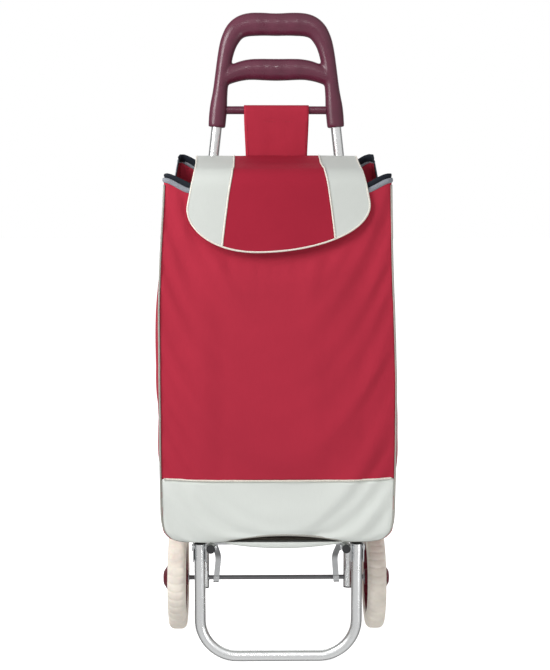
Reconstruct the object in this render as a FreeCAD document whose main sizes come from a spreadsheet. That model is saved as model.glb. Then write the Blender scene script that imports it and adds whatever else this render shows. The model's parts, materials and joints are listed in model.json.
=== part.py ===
import FreeCAD, Part
import math
import os

import Sketcher
from FreeCAD import Rotation, Vector

# A two-wheeled shopping trolley: a tube frame with a double-grip handle, a folding platform with a
# folding U foot, and a fabric bag with a flap. Millimetres; +Z is up and the bag's front faces -Y.
# The origin is on the floor, under the middle of the whole object.

DIMENSIONS = {
    # Frame
    "upright_radius": 8,
    "wall": 1,
    "upright_spacing": 229,
    "upright_y": 63,
    "upright_bottom": 66,
    "upright_bend_z": 590,
    "upright_top_z": 840,
    "upright_top_half": 86.5,
    "upright_bend_radius": 120,
    # Wheels and axle
    "wheel_radius": 80,
    "wheel_width": 28,
    "wheel_x": 155,
    "tyre_bore": 57,
    "axle_radius": 3.5,
    "axle_half": 172,
    "running_gap": 0.08,
    "cap_radius": 23.5,
    "cap_reach": 24,
    # Platform, foot and their rivets
    "platform_z": 172,
    "platform_radius": 6.35,
    "platform_x": 98.25,
    "platform_rear_y": 74,
    "platform_front_y": -134,
    "foot_y": -122,
    "foot_tilt": 2.5,
    "foot_bend": 55,
    "foot_stub": 5.5,
    "rivet_radius": 3,
    "hook_rivet_y": -62,
    "bracket_bottom": 152,
    "bracket_top": 178.6,
    # Handle
    "handle_depth": 26,
    "handle_bottom": 788,
    "handle_top": 964,
    "hanger_z": 815,
    "hanger_radius": 6.2,
    # Bag
    "bag_half": 168,
    "bag_front": -136,
    "bag_rear": 53,
    "bag_bottom": 179.5,
    "rim_front": 705,
    "rim_rear": 737,
    "cloth": 2.5,
    "binding_rise": 5,
    "band_top": 276,
    "flap_half": 130,
    "flap_bottom": 600,
    "flap_face": 143,
    "flap_cloth": 3,
}

# Sizes that only one sub-part uses, in millimetres.
# An outline's corner is (across, up) or (across, up, rounding). The handle's crown is
# {across: (up from the handle's top, rounding)}.
FIT = 0.1
PRESS_FIT = 0.02
PLUG_HEAD = 2
PLUG_STEM = 8
HEAD_RADIUS = 5
HEAD_THICKNESS = 1.6
RIVET_OVERHANG = 1
BRACE_Z = 420
BRACE_RIVET = 2
BRACE_HALF_WIDTH = 10
BRACE_THICKNESS = 2
BRACE_OVERHANG = 6
HANDLE_ROUNDING = 7
LEG_OUTSIDE = 104.5
LEG_INSIDE = 80
LEG_ROUNDING = 4
HANDLE_SIDE = [(97, 858, 90), (87, 915, 60)]
HANDLE_CROWN = {68: (-1, 24), 22: (0.2, 60), 0: (-1.4, 60)}
LOWER_GRIP = [(-74, 855, 14), (-44, 861.5, 40), (0, 859, 60)]
GRIP_WINDOW = [(-60, 928.5, 8), (60, 928.5, 8), (70, 888.5, 7), (0, 894.5, 150), (-70, 888.5, 7)]
SOCKET_END_GAP = 2
SOCKET_MOUTH = 6
WASHER_RADIUS = 7
NUT_RADIUS = 6.5
WASHER_THICKNESS = 1.5
WASHER_GAP = 0.4
NUT_GAP = 0.3
HUB_HALF = 15
HUB_RIM_HALF = 12
HUB_RIM = 5
WEB_HALF = 2.5
BOSS_RADIUS = 12
SPOKE_HOLE = 11
SPOKE_CIRCLE = 38
SPOKE_HOLES = 5
TYRE_ROUNDING = 8
CAP_WALL = 2
CAP_CROWN = 9
HOOK_BORE = 0.4
HOOK_WALL = 4
HOOK_RIVET = 1.8
HOOK_RIVET_HEAD = 3.6
STRAP = 3
TAB_FRONT = -80
STRAP_UPPER = [(34, 127, 60), (60, 86)]
STRAP_LOWER = [(57, 83.5), (31, 124.5, 57)]
STRAP_FACE = [
    (102.7, 170),
    (102.7, 160, 40),
    (95.5, 119, 60),
    (100.5, 70),
    (91.5, 70),
    (86.5, 119, 51),
    (93.7, 160, 40),
    (93.7, 170),
]
BAR_HALF = 1.5
CROSS_BARS = {"front": (-100, -80), "rear": (15, 35)}
PIVOT_GAP = 0.3
BRACKET_WALL = 1.5
BRACKET_INSIDE = 8.35
BRACKET_FRONT = -9
BRACKET_NOTCH = 167
STOP_GAP = 9.3
FOOT_PLUG_HEAD = 0.8
FOOT_PLUG_STEM = 2
CORNER = 14
BASE_RISE = CORNER + 2
BOARD = 3
BOARD_GAP = 0.5
BAND_INSET = 5
BAND_RISE = 4
BAND_CLOTH = 1
PIPING_RADIUS = 1.5
PIPING_INSET = 1.7
BINDING_OVERHANG = 0.5
BINDING_GAP = 0.5
COLLAR_INSET = 1.2
COLLAR_WALL = 1.5
COLLAR_DEPTH = 45
LOOP_HEIGHT = 30
LOOP_LEVELS = {"low": 300, "high": 545}
LOOP_GAP = 0.3
LOOP_WALL = 1.3
STRAP_HALF = 50
STRAP_CLOTH = 1.8
STRAP_FALL = 700
HANGER_HALF = 76.8
HINGE_INSET = 1.5
HINGE_RISE = 8
CREST_RISE = 15
FLAP_ROUNDING = 45
CREST_ROUNDING = 14
PATCH_HALF = 25
PATCH_RISE = 6
PATCH_TOP = 30


class Size:
    """A number together with the spreadsheet expression that gives it."""

    def __init__(self, number, text):
        self.number = number
        self.text = text

    def joined(self, sign, other, number):
        return Size(number, f"({self.text} {sign} {other.text})")

    def __add__(self, other):
        other = as_size(other)
        return self.joined("+", other, self.number + other.number)

    def __sub__(self, other):
        other = as_size(other)
        return self.joined("-", other, self.number - other.number)

    def __mul__(self, other):
        other = as_size(other)
        return self.joined("*", other, self.number * other.number)

    def __truediv__(self, other):
        other = as_size(other)
        return self.joined("/", other, self.number / other.number)

    def __neg__(self):
        return self * -1

    __radd__ = __add__
    __rmul__ = __mul__

    def __rsub__(self, other):
        return as_size(other) - self


def as_size(value):
    return value if isinstance(value, Size) else Size(value, f"({value})")


class Dimensions:
    """The spreadsheet's cells, each as a Size under its alias."""


doc = FreeCAD.newDocument("shopping_trolley")
sheet = doc.addObject("Spreadsheet::Sheet", "Dims")
dim = Dimensions()
for row, (alias, number) in enumerate(DIMENSIONS.items(), start=1):
    sheet.set(f"A{row}", alias)
    sheet.set(f"B{row}", str(number))
    sheet.setAlias(f"B{row}", alias)
    setattr(dim, alias, Size(number, f"Dims.{alias}"))
doc.recompute()

LEFT = -1
RIGHT = 1
SIDES = {"left": LEFT, "right": RIGHT}
X_AXIS = Vector(1, 0, 0)
Y_AXIS = Vector(0, 1, 0)
ALONG = {
    "x": Rotation(Y_AXIS, 90),
    "y": Rotation(X_AXIS, -90),
    "z": Rotation(),
}
subparts = []


def bind(thing, **sizes):
    """Sets properties from sizes, each bound to its expression."""
    for name, size in sizes.items():
        thing.setExpression(name, as_size(size).text)


def place(thing, x=0, y=0, z=0):
    for axis, size in zip("xyz", (x, y, z)):
        thing.setExpression(f"Placement.Base.{axis}", as_size(size).text)


def finished(thing, label):
    """Gives a sub-part its name and adds it to the list that is written out."""
    thing.Label = label
    subparts.append(thing)
    return thing


# Primitives and booleans


def cylinder(name, radius, start, length, axis="x", x=0, y=0, z=0):
    """A cylinder along an axis, from start to start + length on that axis."""
    thing = doc.addObject("Part::Cylinder", name)
    thing.Placement = FreeCAD.Placement(Vector(), ALONG[axis])
    bind(thing, Radius=radius, Height=length)
    place(thing, **({"x": x, "y": y, "z": z} | {axis: start}))
    return thing


def side_cylinder(name, radius, inner, outer, side, y, z):
    """A cylinder along X that lies between two distances from the middle, on one side."""
    start = inner if side == RIGHT else -as_size(outer)
    return cylinder(name, radius, start, as_size(outer) - inner, "x", y=y, z=z)


def box(name, x, y, z):
    """A box from pairs of lowest and highest values."""
    thing = doc.addObject("Part::Box", name)
    lengths = [as_size(high) - low for low, high in (x, y, z)]
    bind(thing, Length=lengths[0], Width=lengths[1], Height=lengths[2])
    place(thing, x[0], y[0], z[0])
    return thing


def fused(name, things):
    thing = doc.addObject("Part::MultiFuse", name)
    thing.Shapes = things
    return thing


def without(name, base, tools):
    thing = doc.addObject("Part::Cut", name)
    thing.Base = base
    thing.Tool = tools[0] if len(tools) == 1 else fused(name + "_tools", tools)
    return thing


# Sketches and bodies


def new_sketch(body, name, role):
    sketch = body.newObject("Sketcher::SketchObject", name)
    plane = next(f for f in body.Origin.OriginFeatures if f.Role == role)
    sketch.AttachmentSupport = (plane, "")
    sketch.MapMode = "FlatFace"
    return sketch


def constrain(sketch, kind, places, size):
    index = sketch.addConstraint(Sketcher.Constraint(kind, *places, size.number))
    sketch.setExpression(f"Constraints[{index}]", size.text)


def add_circle(sketch, x, y, radius):
    x, y, radius = as_size(x), as_size(y), as_size(radius)
    centre = Vector(x.number, y.number, 0)
    circle = sketch.addGeometry(Part.Circle(centre, Vector(0, 0, 1), radius.number), False)
    constrain(sketch, "DistanceX", (-1, 1, circle, 3), x)
    constrain(sketch, "DistanceY", (-1, 1, circle, 3), y)
    constrain(sketch, "Radius", (circle,), radius)


def corner_arc(before, corner, after, radius):
    """The arc that rounds a corner, its two ends, and whether it turns left."""
    back = (before - corner).normalize()
    ahead = (after - corner).normalize()
    half = back.getAngle(ahead) / 2
    reach = radius / math.tan(half)
    start = corner + back * reach
    end = corner + ahead * reach
    left = (corner - before).cross(after - corner).z > 0
    first, last = (start, end) if left else (end, start)
    centre = corner + (back + ahead).normalize() * (radius / math.sin(half))
    circle = Part.Circle(centre, Vector(0, 0, 1), radius)
    arc = Part.ArcOfCircle(circle, circle.parameter(first), circle.parameter(last))
    return arc, start, end, left


def add_outline(sketch, corners, closed=True):
    """Lines through corners (x, y) or (x, y, radius), with tangent arcs where a radius is given."""
    corners = [[as_size(value) for value in corner] for corner in corners]
    points = [Vector(corner[0].number, corner[1].number, 0) for corner in corners]
    count = len(corners)
    arcs = {}
    starts, ends = list(points), list(points)
    for i, corner in enumerate(corners):
        if len(corner) == 3:
            before, after = points[i - 1], points[(i + 1) % count]
            arc, starts[i], ends[i], left = corner_arc(before, points[i], after, corner[2].number)
            arcs[i] = (arc, left)
    lines = []
    for i in range(count if closed else count - 1):
        segment = Part.LineSegment(ends[i], starts[(i + 1) % count])
        lines.append(sketch.addGeometry(segment, False))
    for i, corner in enumerate(corners):
        line_in = lines[i - 1] if closed or i > 0 else None
        line_out = lines[i] if i < len(lines) else None
        if i in arcs:
            arc, left = arcs[i]
            curve = sketch.addGeometry(arc, False)
            first, last = (1, 2) if left else (2, 1)
            sketch.addConstraint(Sketcher.Constraint("Tangent", line_in, 2, curve, first))
            sketch.addConstraint(Sketcher.Constraint("Tangent", curve, last, line_out, 1))
            constrain(sketch, "Radius", (curve,), corner[2])
            point = sketch.addGeometry(Part.Point(points[i]), True)
            sketch.addConstraint(Sketcher.Constraint("PointOnObject", point, 1, line_in))
            sketch.addConstraint(Sketcher.Constraint("PointOnObject", point, 1, line_out))
            anchor = (point, 1)
        elif line_in is not None and line_out is not None:
            sketch.addConstraint(Sketcher.Constraint("Coincident", line_in, 2, line_out, 1))
            anchor = (line_out, 1)
        else:
            anchor = (line_out, 1) if line_in is None else (line_in, 2)
        constrain(sketch, "DistanceX", (-1, 1, *anchor), corner[0])
        constrain(sketch, "DistanceY", (-1, 1, *anchor), corner[1])
    return len(lines) + len(arcs)


def new_body(name):
    return doc.addObject("PartDesign::Body", name)


def padded(name, role, loops, length, middle=False, backwards=False):
    """A body that is one pad of closed outlines, each a list of corners."""
    body = new_body(name)
    sketch = new_sketch(body, name + "_sketch", role)
    for corners in loops:
        add_outline(sketch, corners)
    pad = body.newObject("PartDesign::Pad", name + "_pad")
    pad.Profile = sketch
    bind(pad, Length=length)
    pad.SideType = "Symmetric" if middle else "One side"
    pad.Reversed = backwards
    return body


def revolved(name, corners):
    """A body turned about the X axis from an outline of (x, radius) corners."""
    body = new_body(name)
    sketch = new_sketch(body, name + "_sketch", "XY_Plane")
    add_outline(sketch, corners)
    turned = body.newObject("PartDesign::Revolution", name + "_revolution")
    turned.Profile = sketch
    turned.ReferenceAxis = (sketch, ["H_Axis"])
    turned.Angle = 360
    return body


def tube(name, path, radius, hollow=True, start_x=0):
    """A body that is a round tube along a path in the XZ plane that starts at z = 0, going up or down."""
    body = new_body(name)
    spine = new_sketch(body, name + "_path", "XZ_Plane")
    edges = add_outline(spine, path, closed=False)
    ring = new_sketch(body, name + "_ring", "XY_Plane")
    add_circle(ring, start_x, 0, radius)
    if hollow:
        add_circle(ring, start_x, 0, radius - dim.wall)
    pipe = body.newObject("PartDesign::AdditivePipe", name + "_pipe")
    pipe.Profile = ring
    pipe.Spine = (spine, [f"Edge{i + 1}" for i in range(edges)])
    return body


def drill(body, role, x, y, radius):
    """Drills a round hole right through a body, square to one of its planes."""
    doc.recompute()
    before = body.Shape.Volume
    sketch = new_sketch(body, body.Name + "_hole_sketch", role)
    add_circle(sketch, x, y, radius)
    pocket = body.newObject("PartDesign::Pocket", body.Name + "_hole")
    pocket.Profile = sketch
    pocket.Type = "ThroughAll"
    pocket.SideType = "Symmetric"
    doc.recompute()
    if body.Shape.Volume > before - 1:
        raise RuntimeError(f"a hole in {body.Name} cuts nothing")
    return pocket


def ring(name, inner, outer, start, length, axis="z", x=0, y=0, z=0):
    """A short pipe, such as a washer or a loop of webbing."""
    solid = cylinder(name + "_solid", outer, start, length, axis, x, y, z)
    bore = cylinder(name + "_bore", inner, start, length, axis, x, y, z)
    return without(name, solid, [bore])


# Frame: uprights, brace, handle and axle


def upright(side, name):
    """A tube that is straight beside the bag and leans inwards up to the handle."""
    bend = dim.upright_bend_z - dim.upright_bottom
    top = dim.upright_top_z - dim.upright_bottom
    lean = (dim.upright_spacing / 2 - dim.upright_top_half) * -side
    body = tube(name, [(0, 0), (0, bend, dim.upright_bend_radius), (lean, top)], dim.upright_radius)
    drill(body, "YZ_Plane", 0, dim.wheel_radius - dim.upright_bottom, dim.axle_radius + PRESS_FIT)
    drill(body, "YZ_Plane", 0, dim.platform_z - dim.upright_bottom, dim.rivet_radius + PRESS_FIT)
    drill(body, "XZ_Plane", 0, BRACE_Z - dim.upright_bottom, BRACE_RIVET)
    place(body, dim.upright_spacing / 2 * side, dim.upright_y, dim.upright_bottom)
    return finished(body, name)


def upright_end_plugs():
    """The plastic plugs in the lower ends of the uprights."""
    plugs = []
    for name, side in SIDES.items():
        x = dim.upright_spacing / 2 * side
        bottom = dim.upright_bottom
        at = {"axis": "z", "x": x, "y": dim.upright_y}
        head = cylinder(f"upright_plug_head_{name}", dim.upright_radius, bottom - PLUG_HEAD, PLUG_HEAD, **at)
        inside = dim.upright_radius - dim.wall - FIT
        stem = cylinder(f"upright_plug_stem_{name}", inside, bottom, PLUG_STEM, **at)
        plugs.append(fused(f"upright_plug_{name}", [head, stem]))
    return finished(fused("upright_plugs", plugs), "upright_end_plugs")


def back_brace():
    """A flat steel strip riveted across the back of the uprights."""
    rear = dim.upright_y + dim.upright_radius
    half = dim.upright_spacing / 2 + BRACE_OVERHANG
    strip = box(
        "brace_strip",
        (-half, half),
        (rear + FIT, rear + FIT + BRACE_THICKNESS),
        (as_size(BRACE_Z) - BRACE_HALF_WIDTH, BRACE_Z + BRACE_HALF_WIDTH),
    )
    holes, rivets = [], []
    front = dim.upright_y - dim.upright_radius + dim.wall
    back = rear + FIT + BRACE_THICKNESS
    for name, side in SIDES.items():
        at = {"axis": "y", "x": dim.upright_spacing / 2 * side, "z": BRACE_Z}
        holes.append(cylinder(f"brace_hole_{name}", BRACE_RIVET, rear, 2 * BRACE_THICKNESS, **at))
        shank = cylinder(f"brace_shank_{name}", BRACE_RIVET, front, back - front, **at)
        head = cylinder(f"brace_head_{name}", HEAD_RADIUS, back, HEAD_THICKNESS, **at)
        rivets.append(fused(f"brace_rivet_{name}", [shank, head]))
    finished(without("brace", strip, holes), "back_brace")
    finished(fused("brace_rivet_pair", rivets), "brace_rivets")


def handle():
    """The plastic handle: two grips one above the other, and a leg down over each upright."""
    crown = [(x, dim.handle_top + up, rounding) for x, (up, rounding) in HANDLE_CROWN.items()]
    right = [(LEG_OUTSIDE, dim.handle_bottom, LEG_ROUNDING)] + HANDLE_SIDE + crown
    under = [(-LEG_INSIDE, dim.handle_bottom, LEG_ROUNDING)] + LOWER_GRIP
    mirrored = [[(-x, *rest) for x, *rest in reversed(half[:-1])] for half in (right, under)]
    outline = right + mirrored[0] + under + mirrored[1]
    body = padded("handle_block", "XZ_Plane", [outline, GRIP_WINDOW], dim.handle_depth, middle=True)
    place(body, 0, dim.upright_y, 0)
    rounded = rounded_rims(body, HANDLE_ROUNDING)
    tools = [handle_socket(name, side) for name, side in SIDES.items()]
    return finished(without("handle", rounded, tools), "handle_moulding")


def handle_socket(name, side):
    """The bore in a handle leg that an upright's leaning top fits in."""
    bottom = dim.handle_bottom - SOCKET_MOUTH
    lean = (dim.upright_spacing / 2 - dim.upright_top_half) / (dim.upright_top_z - dim.upright_bend_z)
    socket = doc.addObject("Part::Cylinder", f"socket_{name}")
    bind(socket, Radius=dim.upright_radius + FIT, Height=dim.upright_top_z - bottom + SOCKET_END_GAP)
    socket.Placement = FreeCAD.Placement(Vector(), Rotation(Y_AXIS, 0))
    socket.setExpression("Placement.Rotation.Angle", f"{-side} * atan({lean.text})")
    place(socket, (dim.upright_top_half + (dim.upright_top_z - bottom) * lean) * side, dim.upright_y, bottom)
    return socket


def rounded_rims(body, radius):
    """Rounds every edge of a padded body's two flat faces."""
    doc.recompute()
    pad = body.Tip
    depth = body.Shape.BoundBox.YLength / 2
    rims = []
    for index, edge in enumerate(pad.Shape.Edges, start=1):
        if all(abs(abs(vertex.Y) - depth) < 0.01 for vertex in edge.Vertexes):
            rims.append(f"Edge{index}")
    rounding = body.newObject("PartDesign::Fillet", body.Name + "_rounding")
    rounding.Base = (pad, rims)
    bind(rounding, Radius=radius)
    return body


def axle_parts():
    z, y = dim.wheel_radius, dim.upright_y
    axle = cylinder("axle_rod", dim.axle_radius, -dim.axle_half, dim.axle_half * 2, "x", y=y, z=z)
    finished(axle, "axle")
    washers, nuts = [], []
    for name, side in SIDES.items():
        bore = dim.axle_radius + FIT / 2
        thickness = WASHER_THICKNESS
        inner = dim.wheel_x - HUB_HALF - WASHER_GAP - thickness
        start = inner if side == RIGHT else -(inner + thickness)
        washers.append(ring(f"axle_washer_{name}", bore, WASHER_RADIUS, start, thickness, "x", y=y, z=z))
        outer = dim.wheel_x + HUB_HALF + NUT_GAP
        start = outer if side == RIGHT else -(outer + thickness)
        nuts.append(ring(f"axle_nut_{name}", bore, NUT_RADIUS, start, thickness, "x", y=y, z=z))
    finished(fused("washer_pair", washers), "axle_washers")
    finished(fused("nut_pair", nuts), "axle_push_nuts")


# Wheels


def wheel(side, name):
    """A foam tyre on a plastic hub with a domed cap outside."""
    half = dim.wheel_width / 2
    tyre = revolved(
        f"tyre_body_{name}",
        [
            (-half, dim.tyre_bore),
            (half, dim.tyre_bore),
            (half, dim.wheel_radius, TYRE_ROUNDING),
            (-half, dim.wheel_radius, TYRE_ROUNDING),
        ],
    )
    rim = dim.tyre_bore - FIT
    bore = dim.axle_radius + dim.running_gap
    hub = revolved(
        f"hub_body_{name}",
        [
            (-HUB_HALF, bore),
            (HUB_HALF, bore),
            (HUB_HALF, BOSS_RADIUS),
            (WEB_HALF, BOSS_RADIUS),
            (WEB_HALF, rim - HUB_RIM),
            (HUB_RIM_HALF, rim - HUB_RIM),
            (HUB_RIM_HALF, rim),
            (-HUB_RIM_HALF, rim),
            (-HUB_RIM_HALF, rim - HUB_RIM),
            (-WEB_HALF, rim - HUB_RIM),
            (-WEB_HALF, BOSS_RADIUS),
            (-HUB_HALF, BOSS_RADIUS),
        ],
    )
    hole = drill(hub, "YZ_Plane", 0, SPOKE_CIRCLE, SPOKE_HOLE)
    pattern = hub.newObject("PartDesign::PolarPattern", f"hub_holes_{name}")
    pattern.Originals = [hole]
    pattern.Axis = (next(f for f in hub.Origin.OriginFeatures if f.Role == "X_Axis"), [""])
    pattern.Angle = 360
    pattern.Occurrences = SPOKE_HOLES
    hub.Tip = pattern
    outer, inner = dim.cap_radius, dim.cap_radius - CAP_WALL
    reach = dim.cap_reach
    cap = revolved(
        f"cap_body_{name}",
        [
            (side * (WEB_HALF + FIT), inner),
            (side * (WEB_HALF + FIT), outer),
            (side * (half + 1), outer, 4),
            (side * reach, CAP_CROWN, 10),
            (side * reach, 0),
            (side * (reach - CAP_WALL), 0),
            (side * (reach - CAP_WALL), CAP_CROWN - 0.5, 9),
            (side * half, inner, 3),
        ],
    )
    for body, label in ((tyre, "tyre"), (hub, "hub"), (cap, "hub_cap")):
        place(body, dim.wheel_x * side, dim.upright_y, dim.wheel_radius)
        finished(body, f"{label}_{name}")


# Platform


def platform_tube(side, name):
    length = dim.platform_rear_y - dim.platform_front_y
    body = new_body(f"platform_body_{name}")
    sketch = new_sketch(body, f"platform_ring_{name}", "XZ_Plane")
    add_circle(sketch, 0, 0, dim.platform_radius)
    add_circle(sketch, 0, 0, dim.platform_radius - dim.wall)
    pad = body.newObject("PartDesign::Pad", f"platform_pad_{name}")
    pad.Profile = sketch
    bind(pad, Length=length)
    running = dim.rivet_radius + dim.running_gap
    drill(body, "YZ_Plane", dim.upright_y - dim.platform_rear_y, 0, running)
    drill(body, "YZ_Plane", dim.foot_y - dim.platform_rear_y, 0, dim.rivet_radius + PRESS_FIT)
    drill(body, "XY_Plane", 0, dim.hook_rivet_y - dim.platform_rear_y, HOOK_RIVET)
    place(body, dim.platform_x * side, dim.platform_rear_y, dim.platform_z)
    return finished(body, f"platform_tube_{name}")


def platform_bars_and_plugs():
    half = dim.platform_x - dim.platform_radius - FIT
    z = (dim.platform_z - BAR_HALF, dim.platform_z + BAR_HALF)
    bars = [box(f"cross_bar_{name}", (-half, half), y, z) for name, y in CROSS_BARS.items()]
    finished(fused("cross_bar_pair", bars), "platform_cross_bars")
    plugs = []
    inside = dim.platform_radius - dim.wall - FIT
    for name, side in SIDES.items():
        at = {"axis": "y", "x": dim.platform_x * side, "z": dim.platform_z}
        rear, front = dim.platform_rear_y, dim.platform_front_y
        starts = {"rear": (rear, rear - PLUG_STEM), "front": (front - PLUG_HEAD, front)}
        for end, (head_start, stem_start) in starts.items():
            label = f"{end}_{name}"
            head = cylinder(f"plug_head_{label}", dim.platform_radius, head_start, PLUG_HEAD, **at)
            stem = cylinder(f"plug_stem_{label}", inside, stem_start, PLUG_STEM, **at)
            plugs.append(fused(f"plug_{label}", [head, stem]))
    finished(fused("platform_plugs", plugs), "platform_end_plugs")


def rivet(label, side, inner, outer, y, z):
    """A rivet along X that clamps what lies between two distances from the middle."""
    radius, over = dim.rivet_radius, RIVET_OVERHANG
    shank = side_cylinder(f"{label}_shank", radius, inner - over, outer + over, side, y, z)
    inside = side_cylinder(f"{label}_in", HEAD_RADIUS, inner - HEAD_THICKNESS, inner, side, y, z)
    outside = side_cylinder(f"{label}_out", HEAD_RADIUS, outer, outer + HEAD_THICKNESS, side, y, z)
    return fused(label, [shank, inside, outside])


def pivot_rivets():
    """The rivets that the platform turns on, held in the uprights, and the washers between."""
    rivets, washers = [], []
    tube_inner = dim.platform_x - dim.platform_radius
    tube_outer = dim.platform_x + dim.platform_radius
    upright_inner = dim.upright_spacing / 2 - dim.upright_radius
    upright_outer = dim.upright_spacing / 2 + dim.upright_radius
    y, z = dim.upright_y, dim.platform_z
    for name, side in SIDES.items():
        inner, outer = tube_inner - PIVOT_GAP, upright_outer + FIT
        rivets.append(rivet(f"pivot_rivet_{name}", side, inner, outer, y, z))
        low, high = tube_outer + PIVOT_GAP, upright_inner - FIT
        disc = side_cylinder(f"pivot_disc_{name}", WASHER_RADIUS, low, high, side, y, z)
        bore = side_cylinder(f"pivot_bore_{name}", dim.rivet_radius + PRESS_FIT, low, high, side, y, z)
        washers.append(without(f"pivot_washer_{name}", disc, [bore]))
    finished(fused("pivot_rivet_pair", rivets), "platform_pivot_rivets")
    finished(fused("pivot_washer_pair", washers), "platform_pivot_washers")


def hook_strap(side, name):
    """A curved steel strap from under a platform tube to the axle, where it hooks on from the front."""
    tab_top = dim.platform_z - dim.platform_radius - FIT / 2
    tab_bottom = tab_top - STRAP
    top = [(TAB_FRONT, tab_top), (-30, tab_top, 60)]
    bottom = [(-31, tab_bottom, 57), (TAB_FRONT, tab_bottom)]
    outline = top + STRAP_UPPER + STRAP_LOWER + bottom
    curve = padded(f"strap_side_{name}", "YZ_Plane", [outline], 2 * dim.upright_spacing, middle=True)
    y, z = dim.upright_y, dim.wheel_radius
    inner = dim.axle_radius + HOOK_BORE
    across = (-dim.upright_spacing, dim.upright_spacing)
    eye = cylinder(f"strap_eye_{name}", inner + HOOK_WALL, across[0], across[1] * 2, "x", y=y, z=z)
    band = fused(f"strap_band_{name}", [curve, eye])
    bore = cylinder(f"strap_bore_{name}", inner, across[0], across[1] * 2, "x", y=y, z=z)
    mouth = box(f"strap_mouth_{name}", across, (y, y + 20), (z - inner, z + inner))
    hooked = without(f"strap_hooked_{name}", band, [bore, mouth])
    face = [(x * side, *rest) for x, *rest in STRAP_FACE]
    slab = padded(f"strap_front_{name}", "XZ_Plane", [face], 400, middle=True)
    bow = doc.addObject("Part::Common", f"strap_bow_{name}")
    bow.Base = hooked
    bow.Tool = slab
    at = {"axis": "z", "x": dim.platform_x * side, "y": dim.hook_rivet_y}
    hole = cylinder(f"strap_hole_{name}", HOOK_RIVET, tab_bottom - 2, 10, **at)
    return finished(without(f"strap_{name}", bow, [hole]), f"hook_strap_{name}")


def hook_rivets():
    rivets = []
    under = dim.platform_z - dim.platform_radius - STRAP - 0.15
    top = dim.platform_z + dim.platform_radius - 0.1
    for name, side in SIDES.items():
        at = {"axis": "z", "x": dim.platform_x * side, "y": dim.hook_rivet_y}
        shank = cylinder(f"hook_shank_{name}", HOOK_RIVET, under, top - under, **at)
        head = cylinder(f"hook_head_{name}", HOOK_RIVET_HEAD, under - HEAD_THICKNESS, HEAD_THICKNESS, **at)
        rivets.append(fused(f"hook_rivet_{name}", [shank, head]))
    finished(fused("hook_rivet_pair", rivets), "hook_rivets")


def leg_bracket(side, name):
    """A steel channel, open to the front, that holds the top of a foot leg and stops it behind."""
    inner, outer = BRACKET_INSIDE, BRACKET_INSIDE + BRACKET_WALL
    stop, back = STOP_GAP, STOP_GAP + BRACKET_WALL
    outline = [
        (-outer, BRACKET_FRONT),
        (-outer, back, 3),
        (outer, back, 3),
        (outer, BRACKET_FRONT),
        (inner, BRACKET_FRONT),
        (inner, stop, 1.5),
        (-inner, stop, 1.5),
        (-inner, BRACKET_FRONT),
    ]
    height = dim.bracket_top - dim.bracket_bottom
    body = padded(f"bracket_body_{name}", "XY_Plane", [outline], height)
    drill(body, "YZ_Plane", 0, dim.platform_z - dim.bracket_bottom, dim.rivet_radius + PRESS_FIT)
    x = dim.upright_spacing / 2 * side
    place(body, x, dim.foot_y, dim.bracket_bottom)
    # the leg's top corner swings through here as the foot folds
    behind = dim.foot_y + stop - BRACKET_WALL
    notch = box(
        f"bracket_notch_{name}",
        (x - outer, x + outer),
        (behind, behind + 2 * outer),
        (BRACKET_NOTCH, dim.bracket_top + 1),
    )
    return finished(without(f"bracket_{name}", body, [notch]), f"leg_bracket_{name}")


def foot_rivets():
    """The rivets that the foot turns on, held in the platform tubes and the brackets."""
    inner = dim.platform_x - dim.platform_radius - FIT
    outer = dim.upright_spacing / 2 + BRACKET_INSIDE + BRACKET_WALL + FIT
    y, z = dim.foot_y, dim.platform_z
    rivets = [rivet(f"foot_rivet_{name}", side, inner, outer, y, z) for name, side in SIDES.items()]
    finished(fused("foot_rivet_pair", rivets), "foot_pivot_rivets")


# Foot


def lean_back(thing, above):
    """Leans a foot piece back about its pivot, from a point that far above the pivot along the leg."""
    thing.Placement = FreeCAD.Placement(Vector(), Rotation(X_AXIS, 0))
    thing.setExpression("Placement.Rotation.Angle", "Dims.foot_tilt")
    above = as_size(above)
    thing.setExpression("Placement.Base.y", f"Dims.foot_y - {above.text} * sin(Dims.foot_tilt)")
    thing.setExpression("Placement.Base.z", f"Dims.platform_z + {above.text} * cos(Dims.foot_tilt)")


def foot():
    """The U foot: both legs and the floor bar are one bent tube."""
    half = dim.upright_spacing / 2
    lean = Size(math.cos(math.radians(dim.foot_tilt.number)), "cos(Dims.foot_tilt)")
    low = -((dim.platform_z - dim.upright_radius) / lean + dim.foot_stub)
    path = [(-half, 0), (-half, low, dim.foot_bend), (half, low, dim.foot_bend), (half, 0)]
    body = tube("foot_body", path, dim.upright_radius, start_x=-half)
    drill(body, "YZ_Plane", 0, -dim.foot_stub, dim.rivet_radius + dim.running_gap)
    lean_back(body, dim.foot_stub)
    finished(body, "foot_tube")
    plugs = []
    for name, side in SIDES.items():
        x = half * side
        head = cylinder(f"foot_plug_head_{name}", dim.upright_radius, 0, FOOT_PLUG_HEAD, "z", x=x)
        inside = dim.upright_radius - dim.wall - FIT
        stem = cylinder(f"foot_plug_stem_{name}", inside, -FOOT_PLUG_STEM, FOOT_PLUG_STEM, "z", x=x)
        plugs.append(fused(f"foot_plug_{name}", [head, stem]))
    pair = fused("foot_plug_pair", plugs)
    lean_back(pair, dim.foot_stub)
    finished(pair, "foot_top_plugs")


# Bag


def rim_slope(inset, below, above):
    """The side outline of a strip along the sloping rim, from below the rim's line to above it."""
    front, rear = dim.bag_front + inset, dim.bag_rear - inset
    rise = (dim.rim_rear - dim.rim_front) / (dim.bag_rear - dim.bag_front) * inset
    low, high = dim.rim_front + rise, dim.rim_rear - rise
    return [(front, low + below), (rear, high + below), (rear, high + above), (front, low + above)]


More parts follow.
